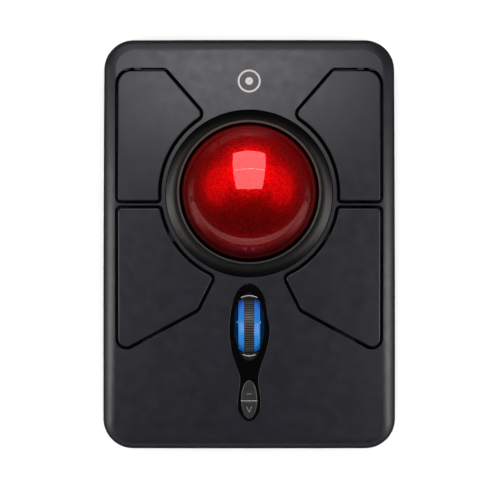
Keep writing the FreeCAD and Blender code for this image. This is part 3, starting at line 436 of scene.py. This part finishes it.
def ring_emblem():
    """A plain printed ring and dot between the far edge of the case and the ball."""
    height = surface_of("top_shell")
    centre = (0, cad_box[1][1] - 15.3 * MM)
    form = bmesh.new()
    add_band(form, circle_spots(centre, 3.9 * MM, 96), 0.4 * MM, height, closed=True)
    add_band(form, circle_spots(centre, 0.8 * MM, 32), 0.72 * MM, height, closed=True)
    add_piece("ring_emblem", form, "case", silver_ink_and_highlight)


def wheel_opening_trim():
    """Thin bright arcs bowed round the far and the near end of the wheel's opening: painted highlights
    of the light the opening's rounded ends catch.
    """
    height = surface_of("wheel_bezel")
    axle_y = middle_of("wheel_tyre", 1)
    far_glint, near_glint = (10.3 * MM, 3.0 * MM, 0.7 * MM), (-12.0 * MM, 2.3 * MM, -0.5 * MM)
    half_count = 8
    form = bmesh.new()
    for reach, half_length, bow in (far_glint, near_glint):
        spots = []
        for index in range(2 * half_count + 1):
            share = index / half_count - 1
            spots.append((half_length * share, axle_y + reach - bow * share ** 2))
        # pale strokes painted as highlights on the rounded ends of the opening
        add_band(form, spots, THIN_STROKE, height)
    add_piece("wheel_opening_trim", form, "case", silver_ink_and_highlight)


def rocker_marks():
    """A raised dash on the rocker's far half and an arrowhead on its near half."""
    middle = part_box("dpi_up_button")[0][1] + 2.4 * MM
    half_dash = 0.9 * MM
    form = bmesh.new()
    spots = line_spots((-half_dash, middle), (half_dash, middle))
    add_band(form, spots, THIN_STROKE, surface_of("dpi_up_button"))
    add_piece("dpi_up_glyph", form, "dpi_up", pale_mark)

    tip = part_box("dpi_down_button")[1][1] - 4.2 * MM
    half_span, depth = 0.95 * MM, 2.2 * MM
    form = bmesh.new()
    for direction in (-1, 1):
        spots = line_spots((direction * half_span, tip + depth), (0, tip))
        add_band(form, spots, THIN_STROKE, surface_of("dpi_down_button"))
    add_piece("dpi_down_glyph", form, "dpi_down", pale_mark)


def rocker_split_highlight():
    """A pale bar between the two halves of the rocker that sags a little at its ends: a painted
    highlight of the light the edge of the split catches.
    """
    up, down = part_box("dpi_up_button"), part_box("dpi_down_button")
    middle = (up[0][1] + down[1][1]) / 2
    half_gap = (up[0][1] - down[1][1]) / 2 - 0.04 * MM
    half_length = (up[1][0] - up[0][0]) / 2 + 0.05 * MM
    top = surface_of("dpi_up_button")(0, up[0][1] + 0.6 * MM) - 0.05 * MM
    sag, chamfer, depth = 0.25 * MM, 0.08 * MM, 1.2 * MM
    profile = [(-1, -depth), (-1, -chamfer), (-0.5, 0), (0.5, 0), (1, -chamfer), (1, -depth)]
    half_count = 4
    form = bmesh.new()
    rows = []
    for index in range(2 * half_count + 1):
        share = index / half_count - 1
        crest = top - sag * share ** 2
        rows.append([
            form.verts.new((half_length * share, middle + half_gap * side, crest + z))
            for side, z in profile
        ])
    skin(form, rows)
    # the bar is a painted highlight along the rocker's split
    add_piece("dpi_divider", form, "case", silver_ink_and_highlight)


# ---------------------------------------------------------------- studio
LIGHT_TARGET = Vector((0, 20 * MM, 30 * MM))
WHITE, WARM, RED = (1.0, 0.975, 0.985), (1.0, 0.95, 0.9), (1.0, 0.01, 0.015)


def area_light(name, spot, aim, size, radiance, colour, only, shape="RECTANGLE"):
    """A soft box of an even radiance, facing a point and flagged off all but some objects."""
    data = bpy.data.lights.new(name, "AREA")
    data.shape = shape
    data.size, data.size_y = size
    data.energy = radiance * math.pi * size[0] * size[1]
    data.color = colour
    light = bpy.data.objects.new(name, data)
    light.location = spot
    light.rotation_euler = (Vector(aim) - Vector(spot)).to_track_quat("-Z", "Y").to_euler()
    bpy.context.scene.collection.objects.link(light)
    lit = bpy.data.collections.new(f"{name}_lit")
    for item in only:
        lit.objects.link(item)
    light.light_linking.receiver_collection = lit


def lamp(name, turn, tilt, size, radiance, colour, only, distance=0.8, **settings):
    """Hang a soft box by its compass turn (0 is the far end) and its tilt from overhead."""
    turn, tilt = math.radians(turn), math.radians(tilt)
    level = math.sin(tilt)
    away = Vector((level * math.sin(turn), level * math.cos(turn), math.cos(tilt)))
    spot = LIGHT_TARGET + distance * away
    area_light(name, spot, LIGHT_TARGET, size, radiance, colour, only, **settings)


def paper_floor():
    """A plain pale floor under the feet."""
    form = bmesh.new()
    bmesh.ops.create_grid(form, x_segments=2, y_segments=2, size=2.0)
    paper = Paint("floor_paper", 0.7)
    tones = [(0.3, (0.86, 0.86, 0.86)), (0.7, (0.88, 0.88, 0.88))]
    paper.set("Base Color", paper.ramp(paper.noise(50 * MM), tones))
    floor = add_object("floor", form, paper.material)
    floor.location.z = cad_box[0][2]
    floor.visible_glossy = False
    area_light("floor_box", (0, 0, 1.6), (0, 0, 0), (2.4, 2.4), 4.6, (1, 1, 1), [floor])


def reflector_card():
    """A dim glowing band that curves round the near side, seen only in reflections."""
    radius, columns = 0.9, 48
    half_turn, half_band = math.radians(80), math.radians(7.5)
    form = bmesh.new()
    rows = []
    for index in range(columns + 1):
        turn = half_turn * (2 * index / columns - 1)
        middle = -math.radians(4 + 20 * (1 - math.cos(turn)))
        spread = half_band * math.cos(turn) + math.radians(0.5)
        row = []
        for rise in (middle - spread, middle + spread):
            away = Vector((math.sin(turn), -math.cos(turn), math.tan(rise)))
            row.append(form.verts.new(LIGHT_TARGET + radius * away))
        rows.append(row)
    for (low_a, high_a), (low_b, high_b) in zip(rows, rows[1:]):
        form.faces.new((low_a, low_b, high_b, high_a))
    glow = Paint("card_glow", 0.8, Emission_Strength=0.7)
    white = (0.9, 0.88, 0.88)
    glow.set("Emission Color", glow.ramp(glow.noise(0.3), [(0.3, shade(white, 0.9)), (0.7, white)]))
    card = add_object("reflector_card", form, glow.material)
    for kind in ("camera", "diffuse", "shadow", "transmission"):
        setattr(card, f"visible_{kind}", False)


def lamps():
    """Light the ball, its ring, the glossy inset and the rest of the object each in its own way."""
    pieces = [item for item in bpy.data.objects if item.type == "MESH"]
    ball = [item for item in pieces if item.name.startswith("ball_pearl")]
    ring = [item for item in pieces if item.name.startswith("ball_ring")]
    inset = [item for item in pieces if item.name.startswith("wheel_bezel")]
    parts = frame["record"]["subparts"]
    boards = [nodes[part["node"]] for part in parts if part["material_slot"] == "circuit_board"]
    rest = [item for item in pieces if item not in ball + ring + inset + boards]

    # soft boxes lean over the far end: a tall one for the ball, smaller ones for the case
    lamp("key_box", 0, 39.5, (0.76, 1.1), 4.4, WHITE, ball)
    lamp("key_tube", 0, 39.5, (0.7, 0.012), 12.0, WHITE, ball + inset, 0.78)
    lamp("top_box", -8, 22, (0.4, 0.34), 7.2, WHITE, rest)
    lamp("far_box", -14, 66, (0.9, 0.8), 1.1, WHITE, rest)
    lamp("inset_tube", 0, 19, (0.3, 0.02), 12.0, WHITE, inset)

    # warm side boxes graze the shoulders and the ring, and red ones warm the ball's flanks
    for name, turn in (("left", -106), ("right", 112)):
        lamp(f"{name}_box", turn, 57, (0.5, 0.7), 5.6, WARM, rest, 0.88)
        lamp(f"{name}_low_box", turn, 86, (0.8, 0.5), 1.3, WARM, rest)
        lamp(f"{name}_inset_box", turn, 75, (0.5, 0.5), 2.2, WHITE, inset)
        lamp(f"{name}_ring_box", turn, 19, (0.12, 0.32), 6.6, WARM, ring)
        lamp(f"{name}_ball_box", 0.7 * turn, 58, (0.9, 0.7), 1.2, RED, ball, shape="ELLIPSE")
    lamp("ring_tube", 0, 62, (0.6, 0.1), 6.5, WHITE, ring)
    lamp("ring_low_tube", 180, 62, (0.4, 0.1), 0.2, WHITE, ring)


def dim_world():
    world = bpy.data.worlds.new("studio")
    world.use_nodes = True
    background = world.node_tree.nodes["Background"]
    background.inputs["Color"].default_value = (1, 1, 1, 1)
    background.inputs["Strength"].default_value = 0.04
    bpy.context.scene.world = world
    bpy.context.scene.view_settings.view_transform = "Standard"


def camera():
    """A long lens straight above the case, framed a little towards the user."""
    camera_height, measured_height, frame_width = 3.0, 12 * MM, 186.2 * MM
    data = bpy.data.cameras.new("camera")
    data.lens = data.sensor_width * (camera_height - measured_height) / frame_width
    made = bpy.data.objects.new("camera", data)
    made.location = (0.3 * MM, -2 * MM, camera_height)
    bpy.context.scene.collection.objects.link(made)
    bpy.context.scene.camera = made


ring_emblem()
wheel_opening_trim()
rocker_marks()
rocker_split_highlight()
lamps()
paper_floor()
reflector_card()
dim_world()
camera()
